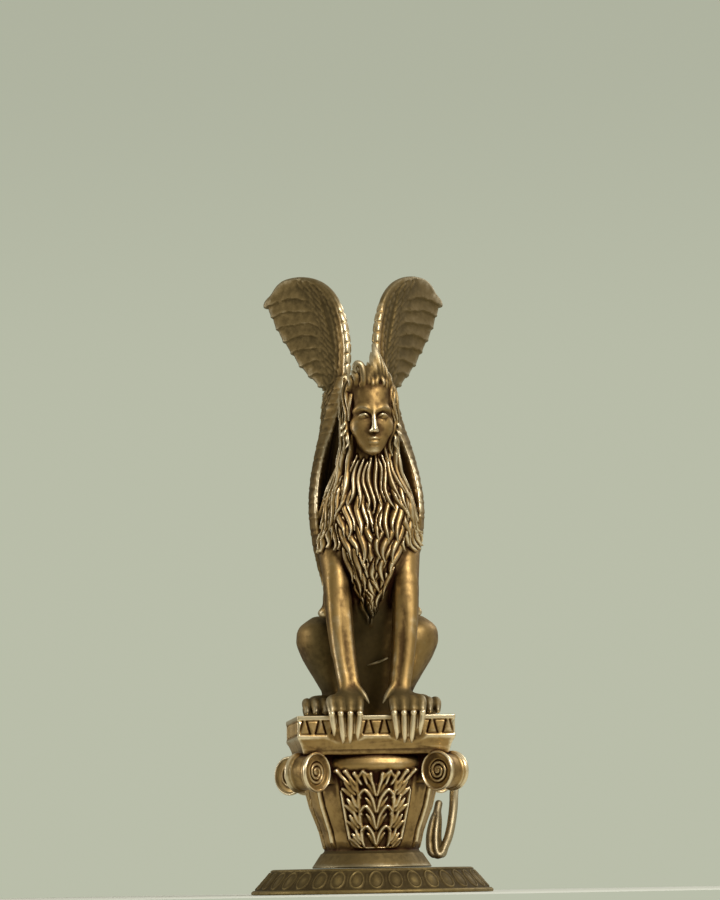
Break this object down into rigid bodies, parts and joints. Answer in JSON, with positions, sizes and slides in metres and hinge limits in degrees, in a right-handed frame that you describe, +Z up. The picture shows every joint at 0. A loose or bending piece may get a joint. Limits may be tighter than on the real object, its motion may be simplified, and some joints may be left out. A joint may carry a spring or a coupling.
{
  "type": "sphinx statue",
  "caption": "Small antique-brass figurine of a seated winged sphinx with a lion's body, on a capital plinth with a round foot plate.",
  "frame": {"origin": "centre of the foot plate's underside", "axes": "+Z up, the sphinx faces -Y, +X is on the right of someone who looks at its face"},
  "size_m": [0.1168, 0.1168, 0.3042],
  "materials": {
    "base_brass": "dull antique patina",
    "plinth_brass": "rubbed antique patina",
    "figure_brass": "rubbed antique patina, dark in the recesses"
  },
  "bodies": {
    "root": {"base_plate": "base_brass", "capital": "plinth_brass", "sphinx": "figure_brass"}
  },
  "joints": []
}
